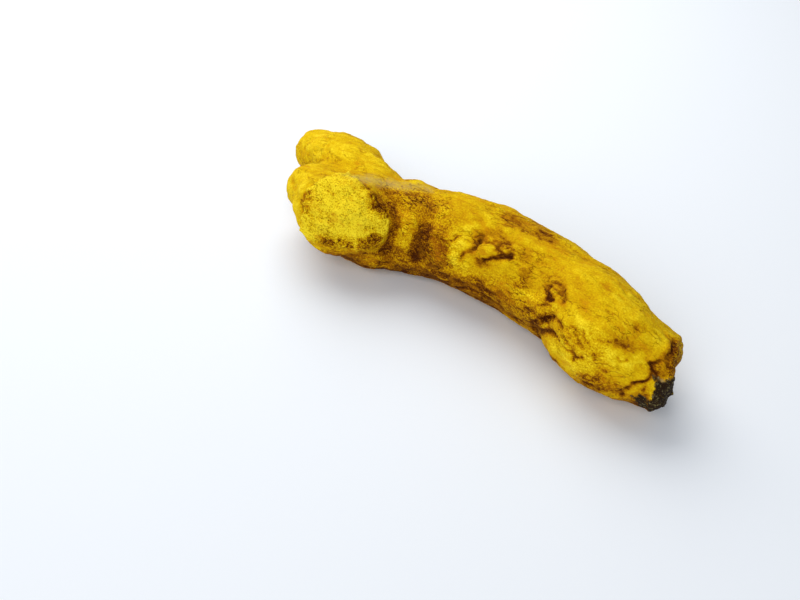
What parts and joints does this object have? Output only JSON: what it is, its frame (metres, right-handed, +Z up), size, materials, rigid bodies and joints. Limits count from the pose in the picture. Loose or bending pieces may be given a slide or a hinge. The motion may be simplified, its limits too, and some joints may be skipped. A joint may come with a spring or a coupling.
{
  "type": "turmeric root",
  "caption": "Dried turmeric root: a stout, gently bent yellow rhizome, forked at one end into a blunt broken stub, a small lobe and a finger, and broken off square at the other.",
  "frame": {"origin": "under the middle of the root's box, on the surface it lies on", "axes": "+X along the root towards its square broken end, +Z up, so that the fork is at -X and the stub's broken face looks towards -Y and up"},
  "size_m": [0.0804, 0.025, 0.016],
  "materials": {
    "turmeric_skin": "dry, matt, dusty yellow skin with brown wrinkles and scars"
  },
  "bodies": {
    "root": {"rhizome": "turmeric_skin"}
  },
  "joints": []
}
